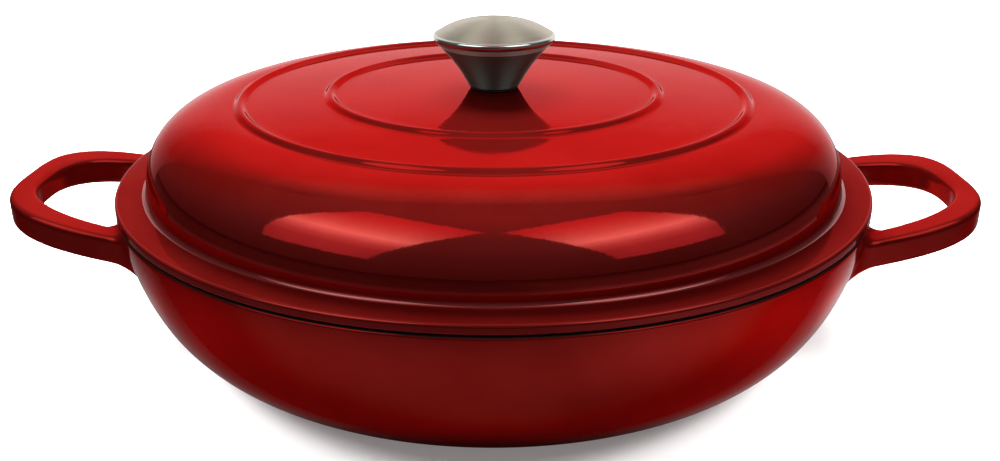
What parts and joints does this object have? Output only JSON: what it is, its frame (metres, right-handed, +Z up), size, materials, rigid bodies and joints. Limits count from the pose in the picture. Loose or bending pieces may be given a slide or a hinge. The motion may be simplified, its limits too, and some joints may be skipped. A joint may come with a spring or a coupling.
{
  "type": "shallow casserole pot",
  "caption": "Round shallow enamelled cast iron pot with loop handles and a domed lift-off lid with a flared steel knob, for braising on the stove or in the oven.",
  "frame": {"origin": "middle of the flat base, on the surface the pot stands on", "axes": "+Z up along the pot's round axis, +X along the line through both loop handles"},
  "size_m": [0.3912, 0.3, 0.1239],
  "materials": {
    "pot_enamel": "glossy red vitreous enamel fired over cast iron, pale enamel inside, bare ground iron rim",
    "lid_enamel": "glossy red vitreous enamel fired over cast iron, pale enamel underneath, bare ground iron seat",
    "polished_steel": "mirror-polished stainless steel",
    "brushed_steel": "circular-brushed stainless steel",
    "fastener_steel": "plain stainless steel fasteners, satin",
    "gasket_rubber": "matte heat-proof silicone rubber"
  },
  "bodies": {
    "pot": {"pot_body": "pot_enamel"},
    "lid_set": {"lid": "lid_enamel", "knob_gasket": "gasket_rubber", "knob_shell": "polished_steel", "knob_cap": "brushed_steel", "knob_bush": "fastener_steel", "flat_washer": "fastener_steel", "spring_washer": "fastener_steel", "knob_screw": "fastener_steel"}
  },
  "joints": [
    {"name": "lid_lift", "type": "slide", "parent": "pot", "child": "lid_set", "axis": [0, 0, 1], "range_m": [0, 0.15]}
  ]
}
